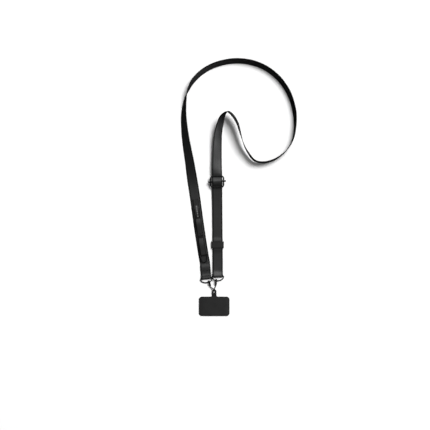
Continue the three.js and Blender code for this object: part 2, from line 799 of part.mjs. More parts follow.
function phoneTab() {
  const top = arc(0, 0, eyeletOuterRadius, eyeletOuterRadius, 80, 0, 7);
  const cardTop = -neckLength;
  const cardBottom = cardTop - cardHeight;
  const halfCard = cardWidth / 2 - cardCorner;
  const filletX = eyeletOuterRadius + neckFillet;
  const fillet = arc(filletX, cardTop + neckFillet, neckFillet, neckFillet, 180, 270, 5);
  const upper = arc(halfCard, cardTop - cardCorner, cardCorner, cardCorner, 90, 0, 6);
  const lower = arc(halfCard, cardBottom + cardCorner, cardCorner, cardCorner, 0, -90, 6);
  const neck = [0.25, 0.5, 0.75].map(
    (share) => new THREE.Vector2(eyeletOuterRadius, (cardTop + neckFillet) * share),
  );
  const edge = [...top, ...neck, ...fillet, ...upper, ...lower];
  const geometry = new THREE.BoxGeometry(2, edge.length - 1, 1, 1, edge.length - 1, 1);
  const position = geometry.attributes.position;
  const hairSlope = 0.002; // on the card's square top edge, so that its rows stay apart
  for (let i = 0; i < position.count; i++) {
    const row = Math.round((edge.length - 1) / 2 - position.getY(i));
    const y = edge[row].y - row * hairSlope;
    const lift = eyeletLift * smooth((y - cardTop - neckFillet / 3) / (neckLength - neckFillet));
    position.setXYZ(i, position.getX(i) * edge[row].x, y, lift + (position.getZ(i) + 0.5) * tabThickness);
  }
  const holeTop = eyeletLift + 2 * tabThickness;
  const hole = rodSolid([0, 0, -tabThickness], [0, 0, holeTop], eyeletRadius, 20);
  const mesh = named("phone_tab", toGeometry(toSolid(geometry).subtract(hole)), tabBlack);
  mesh.position.set(eyeletAcross, eyeletAlong, 0);
  return mesh;
}

// Everything as it lies, then the origin is moved to the middle of the footprint
const layout = new THREE.Group();
const leftClasp = clasp("left", leftFrame, leftClaspPlace, leftClaspHeading, leftClaspPitch);
const rightClasp = clasp("right", rightFrame, rightClaspPlace, rightClaspHeading, rightClaspPitch);
layout.add(
  named("strap_webbing", strap.geometry, webbingBlack),
  endRing("left_d_ring", leftFrame),
  endRing("right_d_ring", rightFrame),
  slider(),
  keeper(),
  named("utility_tape", band(tapeKnots(), tapeWidth, tapeThickness, tapeStep).geometry, webbingBlack),
  smallRing(),
  leftClasp,
  rightClasp,
  tetherCord(leftClasp, rightClasp),
  phoneTab(),
);
const footprint = new THREE.Box3().setFromObject(layout, true);
const middle = footprint.getCenter(new THREE.Vector3());
layout.position.set(-middle.x, -middle.y, -footprint.min.z);

const phoneStrap = new THREE.Group();
phoneStrap.add(layout);

export default phoneStrap;
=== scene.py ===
import math

import bpy
from mathutils import Matrix, Vector


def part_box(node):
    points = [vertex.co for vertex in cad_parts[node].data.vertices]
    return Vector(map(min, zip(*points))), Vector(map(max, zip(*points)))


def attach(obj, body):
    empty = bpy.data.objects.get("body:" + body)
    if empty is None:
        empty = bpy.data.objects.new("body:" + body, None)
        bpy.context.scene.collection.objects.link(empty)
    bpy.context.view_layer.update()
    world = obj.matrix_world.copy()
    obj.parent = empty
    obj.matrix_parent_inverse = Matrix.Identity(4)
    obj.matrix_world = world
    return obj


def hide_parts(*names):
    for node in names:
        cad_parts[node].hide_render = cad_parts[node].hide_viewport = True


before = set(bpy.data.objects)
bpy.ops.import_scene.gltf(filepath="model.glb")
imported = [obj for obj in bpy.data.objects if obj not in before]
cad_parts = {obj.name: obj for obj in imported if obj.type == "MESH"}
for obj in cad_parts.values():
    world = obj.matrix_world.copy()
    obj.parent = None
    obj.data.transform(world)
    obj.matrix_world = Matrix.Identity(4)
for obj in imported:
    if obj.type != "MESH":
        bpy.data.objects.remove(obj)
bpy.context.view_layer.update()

mm = 0.001


# The camera looks straight down on the table, and the photograph is square
photo = {"centre": (-0.0461, -0.0535), "across": 0.8385, "plane": 0.01, "lens": 85, "sensor": 36}


def addCamera():
    away = photo["across"] / photo["sensor"] * photo["lens"]
    x, y = photo["centre"]
    bpy.ops.object.camera_add(location=(x, y, photo["plane"] + away), rotation=(0, 0, 0))
    camera = bpy.context.object
    camera.data.lens = photo["lens"]
    camera.data.sensor_width = photo["sensor"]
    bpy.context.scene.camera = camera


addCamera()
print("camera placed")


def deselectAll():
    if bpy.context.object and bpy.context.object.mode != "OBJECT":
        bpy.ops.object.mode_set(mode="OBJECT")
    bpy.ops.object.select_all(action="DESELECT")


def workOn(piece, editing=False):
    deselectAll()
    piece.select_set(True)
    bpy.context.view_layer.objects.active = piece
    if editing:
        bpy.ops.object.mode_set(mode="EDIT")
        bpy.ops.mesh.select_all(action="SELECT")


def applyModifier(piece, kind, settings):
    workOn(piece)
    modifier = piece.modifiers.new(kind.lower(), kind)
    for key, value in settings.items():
        setattr(modifier, key, value)
    bpy.ops.object.modifier_apply(modifier=modifier.name)


def joined(pieces, name):
    deselectAll()
    for piece in pieces:
        piece.select_set(True)
    bpy.context.view_layer.objects.active = pieces[0]
    bpy.ops.object.join()
    pieces[0].name = name
    return pieces[0]


def fit(piece, body, surface, slot, *nodes):
    piece.data.materials.clear()
    piece.data.materials.append(surface)
    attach(piece, body)
    if nodes:
        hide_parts(*nodes)
    return piece


# Shader maths: a Reading wraps a socket, and an expression on readings adds its Math nodes
class Reading:
    def __init__(self, paint, socket):
        self.paint = paint
        self.socket = socket

    def maths(self, operation, *values):
        made = self.paint.node("ShaderNodeMath", {"operation": operation}, dict(enumerate(values)))
        return Reading(self.paint, made.outputs[0])

    def __add__(self, other):
        return self.maths("ADD", self, other)

    def __radd__(self, other):
        return self.maths("ADD", other, self)

    def __sub__(self, other):
        return self.maths("SUBTRACT", self, other)

    def __rsub__(self, other):
        return self.maths("SUBTRACT", other, self)

    def __mul__(self, other):
        return self.maths("MULTIPLY", self, other)

    def __rmul__(self, other):
        return self.maths("MULTIPLY", other, self)

    def wave(self):
        return self.maths("SINE", self * math.tau) * 0.5 + 0.5

    def fold(self, size):
        return self.maths("PINGPONG", self, size)

    def size(self):
        return self.maths("ABSOLUTE", self)

    def above(self, edge, softness):
        ramp = self.paint.node(
            "ShaderNodeMapRange",
            {"interpolation_type": "SMOOTHSTEP"},
            {"Value": self, "From Min": edge - softness, "From Max": edge + softness},
        )
        return Reading(self.paint, ramp.outputs[0])


class Paint:
    def __init__(self, name, looks):
        self.material = bpy.data.materials.new(name)
        self.material.use_nodes = True
        self.tree = self.material.node_tree
        self.shader = self.tree.nodes["Principled BSDF"]
        for socket, value in looks.items():
            self.shader.inputs[socket].default_value = value

    def node(self, kind, settings=None, inputs=None):
        made = self.tree.nodes.new(kind)
        for key, value in (settings or {}).items():
            if key == "stops":
                ramp = made.color_ramp
                while len(ramp.elements) < len(value):
                    ramp.elements.new(0.5)
                for element, (place, colour) in zip(ramp.elements, value):
                    element.position = place
                    element.color = (*colour, 1)
            else:
                setattr(made, key, value)
        for key, value in (inputs or {}).items():
            self.feed(made.inputs[key], value)
        return made

    def feed(self, socket, value):
        if isinstance(value, Reading):
            self.tree.links.new(value.socket, socket)
        else:
            socket.default_value = value

    def set(self, name, value):
        self.feed(self.shader.inputs[name], value)

    def own(self):
        # The piece's own UV map in millimetres: across it, and along it
        uv = self.node("ShaderNodeUVMap", {"uv_map": "UVMap"})
        parts = self.node("ShaderNodeSeparateXYZ", None, {0: Reading(self, uv.outputs[0])})
        return Reading(self, parts.outputs[0]) * 1000, Reading(self, parts.outputs[1]) * 1000

    def place(self):
        return Reading(self, self.node("ShaderNodeTexCoord").outputs["Object"])

    def noise(self, scale, detail=3, vector=None):
        inputs = {"Vector": vector or self.place(), "Scale": scale, "Detail": detail}
        return Reading(self, self.node("ShaderNodeTexNoise", None, inputs).outputs[0])

    def shades(self, value, stops):
        ramp = self.node("ShaderNodeValToRGB", {"stops": stops}, {0: value})
        return Reading(self, ramp.outputs[0])

    def bump(self, height, distance, strength=1.0):
        made = self.node(
            "ShaderNodeBump",
            None,
            {"Strength": strength, "Distance": distance, "Height": height},
        )
        self.set("Normal", Reading(self, made.outputs[0]))


def grey(value, warm=0.0):
    return (value * (1 + warm), value, value * (1 - warm))


# The cloths' sheen is a coat over a dull ground
cloth = {"Specular IOR Level": 0.1, "Coat IOR": 1.8}

webbing = {
    "width": 20 * mm,
    "thickness": 1.2 * mm,
    "margin": 2.6,  # mm, the plain edge on each side of the twill
    "twill": 1.1,  # mm along the strap from one rib to the next
    "chevron": 2.5,  # mm across
    "dark": 0.0052,
    "light": 0.0118,
    "gloss": 0.8,
    "rough": 0.5,
}


def webbingPaint():
    paint = Paint("webbing", {**cloth, "Coat Roughness": webbing["rough"]})
    across, along = paint.own()
    edge = across.size().above(10 - webbing["margin"], 0.15)
    chevron = across.size().fold(webbing["chevron"]) * 0.9
    ribs = ((along + chevron) * (1 / webbing["twill"])).wave()
    plain = (along * (1 / 0.55)).wave() * (across * (1 / 0.9)).wave()
    weave = ribs * (1 - edge) + plain * edge * 0.7
    cloud = paint.noise(28, 4)
    # The margins are painted darker than the twill: painted shade along the strap's edges, on top of their
    # plainer weave
    tone = weave * 0.35 + cloud * 0.45 + (1 - edge) * 0.3
    stops = [(0.1, grey(webbing["dark"], -0.03)), (1.0, grey(webbing["light"], -0.02))]
    paint.set("Base Color", paint.shades(tone, stops))
    paint.set("Roughness", 0.5 + paint.noise(400, 2) * 0.1 - weave * 0.06)
    # The ribs carry the sheen, and the margins stay dull
    shine = (0.75 + weave * 0.5) * (1 - edge * 0.8)
    paint.set("Coat Weight", shine * webbing["gloss"])
    paint.bump(weave + edge * -0.8 + paint.noise(1500, 2) * 0.25, 0.07 * mm, 0.9)
    return paint.material


tape = {
    "width": 11 * mm,
    "thickness": 1 * mm,
    "margin": 1.2 * mm,
    "shadedStretches": ((35, 4.4), (73.6, 4.8)),  # mm along it to each stretch of painted shade below a tack, and half its length
    "dark": 0.0035,
    "light": 0.0136,
}


def tapePaint():
    paint = Paint("tape", {**cloth, "Coat Roughness": 0.48})
    across, along = paint.own()
    ribs = (along * (1 / 1.0)).wave()
    yarns = (across * (1 / 0.7) + along * 0.5).wave()
    # Painted shade: the margins, and the stretches below the tacks where the loops shade the valleys, are
    # painted darker and given less coat
    edge = across.size().above(4.3, 0.2)
    upper, lower = ((along - middle).size().above(half, 1.2) for middle, half in tape["shadedStretches"])
    clear = upper * lower * (1 - edge)
    weave = ribs * 0.7 + yarns * 0.3
    # The tone carries the painted shade: darker at the margins and in the shaded stretches
    tone = (weave * 0.4 + paint.noise(40, 4) * 0.4 + 0.2) * (0.25 + clear * 0.75)
    stops = [(0.1, grey(tape["dark"])), (1.0, grey(tape["light"]))]
    paint.set("Base Color", paint.shades(tone, stops))
    paint.set("Roughness", 0.58 + paint.noise(500, 2) * 0.1)
    paint.set("Coat Weight", (0.45 + weave * 0.4) * (0.1 + clear * 0.9))
    paint.bump(weave + paint.noise(1500, 2) * 0.3, 0.08 * mm, 0.9)
    return paint.material


keeper = {
    "length": 13,
    "wall": 1,
    "halfWidth": 11.2,
    "height": 3.2,
    "corner": 1.1,
    "rim": 1,  # the rim at each end, painted darker as shade along the keeper's edges
    "dark": 0.006,
    "light": 0.0155,
}


def elasticPaint():
    paint = Paint("elastic", {**cloth, "Coat Roughness": 0.5})
    across, along = paint.own()
    cords = (across * (1 / 1.1)).wave()
    knit = (along * (1 / 0.6) + across * 0.4).wave()
    weave = cords * 0.65 + knit * 0.35
    edge = across.size().above(keeper["length"] / 2 - keeper["rim"], 0.2)
    # Painted shade: the tone is darker at the rims along the keeper's edges
    tone = (weave * 0.5 + paint.noise(60, 3) * 0.5) * (1 - edge * 0.6)
    stops = [(0.1, grey(keeper["dark"])), (1.0, grey(keeper["light"]))]
    paint.set("Base Color", paint.shades(tone, stops))
    paint.set("Roughness", 0.62 + paint.noise(500, 2) * 0.1)
    paint.set("Coat Weight", (0.3 + weave * 0.3) * (1 - edge * 0.85))
    paint.bump(weave, 0.09 * mm, 0.9)
    return paint.material


def metalPaint(name, dark, light, rough):
    paint = Paint(name, {"Specular IOR Level": 0.18, "Coat Roughness": 0.22})
    worn = paint.noise(220, 5).above(0.66, 0.06)
    tone = paint.noise(90, 3) * 0.6 + worn * 0.4
    paint.set("Base Color", paint.shades(tone, [(0.2, grey(dark, -0.02)), (1.0, grey(light, -0.02))]))
    paint.set("Metallic", 0.1 + worn * 0.2)
    paint.set("Roughness", rough + paint.noise(700, 2) * 0.12 - worn * 0.05)
    paint.set("Coat Weight", 0.12 + paint.noise(150, 2) * 0.08)
    paint.bump(paint.noise(1800, 2), 0.02 * mm, 0.5)
    return paint.material


def threadPaint(name, dark, light):
    paint = Paint(name, {"Specular IOR Level": 0.4})
    place = paint.node("ShaderNodeSeparateXYZ", None, {0: paint.place()})
    x, y = Reading(paint, place.outputs[0]), Reading(paint, place.outputs[1])
    twist = ((x + y) * 2600).wave()
    paint.set("Base Color", paint.shades(twist, [(0.0, grey(dark)), (1.0, grey(light))]))
    paint.set("Roughness", 0.5 + paint.noise(900, 2) * 0.15)
    paint.bump(twist, 0.05 * mm, 0.6)
    return paint.material


def cordPaint():
    paint = Paint("cord", {"Specular IOR Level": 0.15})
    across, along = paint.own()
    right = (across * (1 / 1.41) + along * (1 / 1.9)).wave()
    left = (across * (1 / 1.41) - along * (1 / 1.9)).wave()
    braid = right.maths("MAXIMUM", right, left)
    tone = braid * 0.7 + paint.noise(800, 2) * 0.3
    paint.set("Base Color", paint.shades(tone, [(0.2, grey(0.0025)), (1.0, grey(0.009))]))
    paint.set("Roughness", 0.55 + paint.noise(900, 2) * 0.12)
    paint.bump(braid, 0.12 * mm, 0.9)
    return paint.material


def tabPaint():
    paint = Paint("tab", {"Specular IOR Level": 0.45})
    tone = paint.noise(60, 4)
    paint.set("Base Color", paint.shades(tone, [(0.3, grey(0.0105)), (0.8, grey(0.015))]))
    paint.set("Roughness", 0.46 + paint.noise(300, 3) * 0.14)
    paint.bump(paint.noise(2600, 2), 0.03 * mm, 0.7)
    return paint.material


def floorPaint():
    paint = Paint("table", {"Specular IOR Level": 0.0})
    paint.set("Base Color", paint.shades(paint.noise(3, 2), [(0.3, grey(0.81)), (0.7, grey(0.82))]))
    paint.set("Roughness", 0.9)
    return paint.material


paints = {
    "webbing": webbingPaint(),
    "tape": tapePaint(),
    "elastic": elasticPaint(),
    "metal": metalPaint("blackMetal", 0.006, 0.018, 0.34),
    "clasp": metalPaint("claspMetal", 0.005, 0.02, 0.36),
    "thread": threadPaint("blackThread", 0.006, 0.02),
    "mark": threadPaint("greyThread", 0.11, 0.2),
    "cord": cordPaint(),
    "tab": tabPaint(),
    "table": floorPaint(),
}
print("materials made")


# A station on a line: its place, the way across there and the way up
def station(place, across, up):
    return {"place": place, "across": across, "up": up}


# The stations of a woven band, read from its node: each has four corners, whose partners
# lie exactly one width and one thickness away
def bandStations(node, width, thickness, fromTop=False):
    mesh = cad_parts[node].data
    near = 0.002 * mm
    key = [tuple(round(c, 6) for c in v.co) for v in mesh.vertices]
    place = {k: v.co.copy() for k, v in zip(key, mesh.vertices)}
    linked = {k: set() for k in place}
    for polygon in mesh.polygons:
        corners = {key[i] for i in polygon.vertices}
        for corner in corners:
            linked[corner] |= corners - {corner}

    def partner(corner, distance):
        for other in linked[corner]:
            if abs((place[other] - place[corner]).length - distance) < near:
                return other
        return None

    group = {}
    for corner in place:
        side, under = partner(corner, width), partner(corner, thickness)
        group[corner] = (corner, side, under, partner(side, thickness))
    home = {corner: frozenset(four) for corner, four in group.items()}
    beside = {}
    for corner, four in home.items():
        beside.setdefault(four, set()).update(home[k] for k in linked[corner] if home[k] != four)
    ends = [four for four, others in beside.items() if len(others) == 1]
    ends.sort(key=lambda four: max(k[1] for k in four), reverse=fromTop)
    walk, last = [ends[0]], None
    while True:
        onward = [four for four in beside[walk[-1]] if four != last]
        if not onward:
            break
        last = walk[-1]
        walk.append(onward[0])

    stations = []
    for four in walk:
        corner, side, under, _ = group[next(iter(sorted(four)))]
        across = (place[side] - place[corner]).normalized()
        up = (place[under] - place[corner]).normalized()
        if stations:
            across *= math.copysign(1, across.dot(stations[-1]["across"]))
            up *= math.copysign(1, up.dot(stations[-1]["up"]))
        middle = sum((place[k] for k in four), Vector()) / len(four)
        stations.append(station(middle, across, up))
    return stations


# More stations between the given ones, on a smooth curve through them
def refine(stations, longest, closed=False):
    count = len(stations)
    spans = count if closed else count - 1
    fine = []
    for i in range(spans):
        a, b = stations[i], stations[(i + 1) % count]
        before = stations[i - 1] if closed or i else a
        after = stations[(i + 2) % count] if closed or i + 2 < count else b
        p0, p1, p2, p3 = (s["place"] for s in (before, a, b, after))
        gaps = [max(math.sqrt((q - p).length), 1e-6) for p, q in ((p0, p1), (p1, p2), (p2, p3))]
        d0, d1, d2 = gaps
        if p0 == p1:
            d0 = d1
        if p2 == p3:
            d2 = d1
        start = (p2 - p1) + ((p1 - p0) / d0 - (p2 - p0) / (d0 + d1)) * d1
        end = (p2 - p1) + ((p3 - p2) / d2 - (p3 - p1) / (d1 + d2)) * d1
        pieces = max(1, math.ceil((p2 - p1).length / longest))
        for j in range(pieces):
            t = j / pieces
            place = (
                p1 * (2 * t**3 - 3 * t**2 + 1)
                + start * (t**3 - 2 * t**2 + t)
                + p2 * (3 * t**2 - 2 * t**3)
                + end * (t**3 - t**2)
            )
            across = a["across"].lerp(b["across"], t).normalized()
            fine.append(station(place, across, a["up"].lerp(b["up"], t)))
    if not closed:
        fine.append(dict(stations[-1]))
    for s in fine:
        s["up"] = (s["up"] - s["across"] * s["up"].dot(s["across"])).normalized()
    return fine


def lengths(stations, closed=False):
    total = [0.0]
    for a, b in zip(stations, stations[1:] + (stations[:1] if closed else [])):
        total.append(total[-1] + (b["place"] - a["place"]).length)
    return total


# A closed section carried along a line. The piece starts as a flat grid, is rolled along the line,
# welded along its seam and capped; its UV map holds metres across and along
def carried(name, stations, section, closed=False):
    columns, rows = len(section), len(stations) - (0 if closed else 1)
    deselectAll()
    bpy.ops.mesh.primitive_grid_add(x_subdivisions=columns, y_subdivisions=rows, size=2)
    piece = bpy.context.object
    piece.name = piece.data.name = name
    mesh = piece.data
    along = lengths(stations, closed)
    spot = []
    for vertex in mesh.vertices:
        i = round((vertex.co.x + 1) / 2 * columns)
        j = round((vertex.co.y + 1) / 2 * rows)
        s = stations[j % len(stations)]
        a, n = section[i % columns]
        size = s.get("size", 1)
        vertex.co = s["place"] + (s["across"] * a + s["up"] * n) * size
        spot.append((i, j))
    uv = mesh.uv_layers[0]
    uv.name = "UVMap"
    for loop in mesh.loops:
        i, j = spot[loop.vertex_index]
        uv.data[loop.index].uv = (section[i % columns][0], along[j])
    workOn(piece, editing=True)
    bpy.ops.mesh.remove_doubles(threshold=0.001 * mm)
    if not closed:
        bpy.ops.mesh.select_all(action="DESELECT")
        bpy.ops.mesh.select_non_manifold()
        bpy.ops.mesh.edge_face_add()
        bpy.ops.mesh.select_all(action="SELECT")
    bpy.ops.mesh.normals_make_consistent(inside=False)
    bpy.ops.object.mode_set(mode="OBJECT")
    return piece


def smoothed(piece, degrees=40):
    workOn(piece)
    bpy.ops.object.shade_smooth_by_angle(angle=math.radians(degrees))
    return piece


# The section of a woven band: flat faces, thinner margins and rounded selvedges
def bandSection(width, thickness, margin, dip, columns=12):
    half, thick = width / 2, thickness / 2
    corner = 0.42 * mm
    flat = half - corner
    top = []
    for i in range(columns + 1):
        a = flat * (1 - 2 * i / columns)
        edge = max(0.0, min(1.0, (abs(a) - (half - margin)) / (0.5 * mm) + 0.5))
        top.append((a, thick - dip * edge))
    low = thick - dip
    turn = [(flat + corner * math.sin(t), low - corner + corner * math.cos(t)) for t in (0.52, 1.05, 1.57)]
    left = [(-a, n) for a, n in turn]
    bottom = [(-a, -n) for a, n in top]
    under = [(a, -n) for a, n in turn]
    return top + left + [(a, -n) for a, n in reversed(left)] + bottom + under + turn[::-1]


def roundSection(radius, sides):
    turns = [math.tau * i / sides for i in range(sides)]
    return [(radius * math.cos(t), radius * math.sin(t)) for t in turns]


# Turns a band over if it isn't face up where it passes nearest to a place
def faceUp(stations, place):
    nearest = min(stations, key=lambda s: (s["place"] - place).length)
    if nearest["up"].z < 0:
        for s in stations:
            s["up"] = -s["up"]
            s["across"] = -s["across"]
    return stations


def middleOf(node):
    low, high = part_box(node)
    return (Vector(low) + Vector(high)) / 2


tapeMiddle = middleOf("utility_tape")
strapLine = refine(bandStations("strap_webbing", webbing["width"], webbing["thickness"]), 2.2 * mm)
faceUp(strapLine, tapeMiddle)
strapSection = bandSection(webbing["width"], webbing["thickness"], webbing["margin"] * mm, 0.06 * mm)
strap = carried("strapWebbing", strapLine, strapSection)
fit(smoothed(strap), "strap", paints["webbing"], "webbing", "strap_webbing")
print("strap made,", round(lengths(strapLine)[-1], 3), "m long")

tapeLine = refine(bandStations("utility_tape", tape["width"], tape["thickness"], fromTop=True), 1.5 * mm)
faceUp(tapeLine, tapeMiddle)
tapeSection = bandSection(tape["width"], tape["thickness"], tape["margin"], 0.05 * mm, 8)
tapePiece = carried("utilityTape", tapeLine, tapeSection)
fit(smoothed(tapePiece), "strap", paints["tape"], "tape", "utility_tape")
print("tape made,", round(lengths(tapeLine)[-1], 3), "m long")


# A place with three directions, turned about Z, then about its own X and Y, in degrees
def frameOf(place, turn=0.0, pitch=0.0, roll=0.0):
    return (
        Matrix.Translation(place)
        @ Matrix.Rotation(math.radians(turn), 4, "Z")
        @ Matrix.Rotation(math.radians(pitch), 4, "X")
        @ Matrix.Rotation(math.radians(roll), 4, "Y")
    )


# Stations along an outline in a frame's XY plane, whose across lies in that plane
def wireStations(frameMatrix, outline):
    turn = frameMatrix.to_3x3()
    stations = []
    for i, (x, y) in enumerate(outline):
        before, after = outline[i - 1], outline[(i + 1) % len(outline)]
        run = Vector((after[0] - before[0], after[1] - before[1], 0)).normalized()
        outward = Vector((run.y, -run.x, 0))
        stations.append(station(frameMatrix @ Vector((x, y, 0)), turn @ outward, turn @ Vector((0, 0, 1))))
    return stations


def arc(x, y, rx, ry, first, last, steps):
    turns = [math.radians(first + (last - first) * i / steps) for i in range(steps + 1)]
    return [(x + rx * math.cos(t), y + ry * math.sin(t)) for t in turns]


# The lane from the slider to the right ring, which the slider and keeper line up with
laneRun = middleOf("keeper_loop") - middleOf("slider_frame")
laneTurn = math.degrees(math.atan2(laneRun.x, -laneRun.y))


# A ring of wire: its straight bar lies on the frame's X axis and its bow hangs towards -Y
def ringOutline(inner, depth, wire, corner):
    half = (inner + wire) / 2
    bow = depth - wire - corner
    outline = arc(half - corner, -corner, corner, corner, 0, 90, 8)
    for i in range(1, 12):
        outline.append(((half - corner) * (1 - i / 6), 0))
    outline += arc(corner - half, -corner, corner, corner, 90, 180, 8)
    return outline + arc(0, -corner, half, bow, 180, 360, 40)[1:-1]


rings = {
    "leftRing": {
        "node": "left_d_ring", "body": "strap",
        "inner": 20.6, "depth": 10.9, "wire": 2, "corner": 1.8,
        "place": (-63.199, -176.928, 2.607), "turn": 5.0, "pitch": 0.0, "roll": 0.0,
    },
    "rightRing": {
        "node": "right_d_ring", "body": "strap",
        "inner": 20.6, "depth": 10.9, "wire": 2, "corner": 1.8,
        "place": (-40.599, -172.828, 3.687), "turn": laneTurn, "pitch": 0.0, "roll": 6.2,
    },
    "accessoryRing": {
        "node": "accessory_ring", "body": "small_ring",
        "inner": 12.6, "depth": 18, "wire": 2, "corner": 1.8,
        "place": (-68.775, -130.128, 3.907), "turn": 9.3, "pitch": 4.63, "roll": 0.0,
    },
}


def addRing(name, ring):
    place = Vector(ring["place"]) * mm
    home = frameOf(place, ring["turn"], ring["pitch"], ring["roll"])
    inner, depth, wire, corner = (ring[key] * mm for key in ("inner", "depth", "wire", "corner"))
    line = wireStations(home, ringOutline(inner, depth, wire, corner))
    piece = carried(name, line, roundSection(wire / 2, 16), closed=True)
    return fit(smoothed(piece, 60), ring["body"], paints["metal"], "black_metal", ring["node"])


for name, ring in rings.items():
    addRing(name, ring)
print("rings made")


# Slider: a rounded frame of wire, and a bar whose eyes turn on the frame's sides
slider = {
    "wire": 2.8, "inner": 22.6, "length": 24.5, "corner": 5, "pitch": 6.843, "slant": 4.2,
    "bar": 1.25, "knob": 1.7, "knobReach": 2.3, "eyeRoom": 0.3, "eyeWall": 0.6, "eyeLength": 3.4,
}


# A straight turned rod, its profile in rows of distance and radius along the line
def turned(name, start, direction, profile, sides=20):
    side = direction.orthogonal().normalized()
    up = direction.cross(side)
    line = [{**station(start + direction * u, side, up), "size": r} for u, r in profile]
    return carried(name, line, roundSection(1, sides))


# The same for a tube round a line, with rounded ends
def tube(name, middle, direction, length, inner, outer):
    side = direction.orthogonal().normalized()
    up = direction.cross(side)
    wall, soft = outer - inner, (outer - inner) * 0.3
    half = length / 2
    section = []
    for a, n, first in ((half - soft, wall - soft, 90), (half - soft, soft, 0), (soft - half, soft, -90)):
        section += arc(a, n, soft, soft, first, first - 90, 4)
    section += arc(soft - half, wall - soft, soft, soft, 180, 90, 4)
    line = []
    for i in range(32):
        t = math.tau * i / 32
        outward = side * math.cos(t) + up * math.sin(t)
        line.append(station(middle + outward * inner, direction, outward))
    return carried(name, line, section, closed=True)


def addSlider():
    wire, knob = slider["wire"] * mm / 2, slider["knob"] * mm
    home = frameOf(middleOf("slider_frame"), laneTurn, slider["pitch"])
    x = (slider["inner"] * mm) / 2 + wire
    y = slider["length"] * mm / 2 - wire
    corner = slider["corner"] * mm
    outline = []
    for sx, sy, first in ((1, 1, 0), (-1, 1, 90), (-1, -1, 180), (1, -1, 270)):
        outline += arc(sx * (x - corner), sy * (y - corner), corner, corner, first, first + 90, 12)
    line = wireStations(home, outline)
    piece = carried("sliderFrame", line, roundSection(wire, 20), closed=True)
    fit(smoothed(piece, 60), "strap", paints["metal"], "black_metal", "slider_frame")

    home = home @ Matrix.Rotation(math.radians(slider["slant"]), 4, "Z")
    along, run = home.to_3x3() @ Vector((1, 0, 0)), home.to_3x3() @ Vector((0, 1, 0))
    middle = home.translation
    bore = wire + slider["eyeRoom"] * mm
    outer = bore + slider["eyeWall"] * mm
    bar = slider["bar"] * mm
    inside = x - bore - slider["eyeWall"] * mm / 2
    profile = [(0, bar), (inside, bar * 1.03), (2 * inside, bar)]
    parts = [turned("sliderBar", middle - along * inside, along, profile)]
    reach = slider["knobReach"] * mm + slider["eyeWall"] * mm / 2
    rise = [(0, 0.8), (0.12, 0.97), (0.25, 1), (0.7, 1), (0.86, 0.93), (0.96, 0.72), (1, 0.4)]
    for way in (-1, 1):
        parts.append(tube("eye", middle + along * (way * x), run, slider["eyeLength"] * mm, bore, outer))
        start = middle + along * (way * (x + bore + slider["eyeWall"] * mm / 2))
        parts.append(turned("knob", start, along * way, [(reach * u, knob * r) for u, r in rise]))
    piece = joined(parts, "sliderBar")
    fit(smoothed(piece, 50), "strap", paints["metal"], "black_metal", "slider_bar")


addSlider()
print("slider made")


# Keeper: a closed band of woven elastic round both layers of the lane
def addKeeper():
    half, height, wall, corner = (keeper[key] * mm for key in ("halfWidth", "height", "wall", "corner"))
    low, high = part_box("keeper_loop")
    place = middleOf("keeper_loop")
    place.z = low[2] + wall + height / 2
    home = frameOf(place, laneTurn) @ Matrix.Rotation(math.radians(90), 4, "X")
    x, y = half + wall / 2, (height + wall) / 2
    outline = []
    for sx, sy, first in ((1, 1, 0), (-1, 1, 90), (-1, -1, 180), (1, -1, 270)):
        outline += arc(sx * (x - corner), sy * (y - corner), corner, corner, first, first + 90, 8)
    line = []
    for s in wireStations(home, outline):
        line.append(station(s["place"], s["up"], s["across"]))
    line = refine(line, 1.4 * mm, closed=True)
    section = bandSection(keeper["length"] * mm, wall, 1.2 * mm, 0.06 * mm, 10)
    piece = carried("keeperLoop", line, section, closed=True)
    fit(smoothed(piece), "strap", paints["elastic"], "keeper", "keeper_loop")


addKeeper()
print("keeper made")


# A cast piece: a copy of its node with merged faces and softened edges
def softened(node, name, body, edge):
    piece = bpy.data.objects.new(name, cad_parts[node].data.copy())
    bpy.context.collection.objects.link(piece)
    workOn(piece, editing=True)
    bpy.ops.mesh.customdata_custom_splitnormals_clear()
    bpy.ops.mesh.remove_doubles(threshold=0.002 * mm)
    bpy.ops.mesh.dissolve_limited(angle_limit=math.radians(2))
    bpy.ops.object.mode_set(mode="OBJECT")
    settings = {"width": edge, "segments": 2, "limit_method": "ANGLE", "angle_limit": math.radians(32)}
    applyModifier(piece, "BEVEL", settings)
    return fit(smoothed(piece, 35), body, paints["clasp"], "clasp_metal", node)


softened("left_clasp", "leftClasp", "strap", 0.16 * mm)
softened("right_clasp", "rightClasp", "strap", 0.16 * mm)
softened("left_clasp_lever", "leftLever", "left_gate", 0.12 * mm)
softened("right_clasp_lever", "rightLever", "right_gate", 0.12 * mm)
print("clasps made")


# Tether cord, from the left clasp down through the eyelet and back up to the right one
tether = {
    "diameter": 0.0018,
    "length": 0.0317,
    "route": [
        (-0.05566, -0.19107, 0.00331),
        (-0.05514, -0.19290, 0.00331),
        (-0.05472, -0.19434, 0.00331),
        (-0.05190, -0.19623, 0.00406),
        (-0.04920, -0.19823, 0.00466),
        (-0.04840, -0.20003, 0.00466),
        (-0.04795, -0.20158, 0.00431),
        (-0.04770, -0.20223, 0.00286),
        (-0.04755, -0.20158, 0.00141),
        (-0.04735, -0.20003, 0.00106),
        (-0.04710, -0.19823, 0.00106),
        (-0.04590, -0.19503, 0.00216),
        (-0.04444, -0.19151, 0.00334),
        (-0.04436, -0.19003, 0.00355),
        (-0.04426, -0.18815, 0.00382),
    ],
}


# Stations along a route, with directions carried on from one to the next without twist
def routeStations(points, longest):
    places = [Vector(p) for p in points]
    first = (places[1] - places[0]).normalized()
    across = first.orthogonal().normalized()
    line = refine([station(p, across, first.cross(across)) for p in places], longest)
    for i, s in enumerate(line):
        before, after = line[max(i - 1, 0)], line[min(i + 1, len(line) - 1)]
        run = (after["place"] - before["place"]).normalized()
        across = (across - run * across.dot(run)).normalized()
        s["across"], s["up"] = across, run.cross(across)
    return line


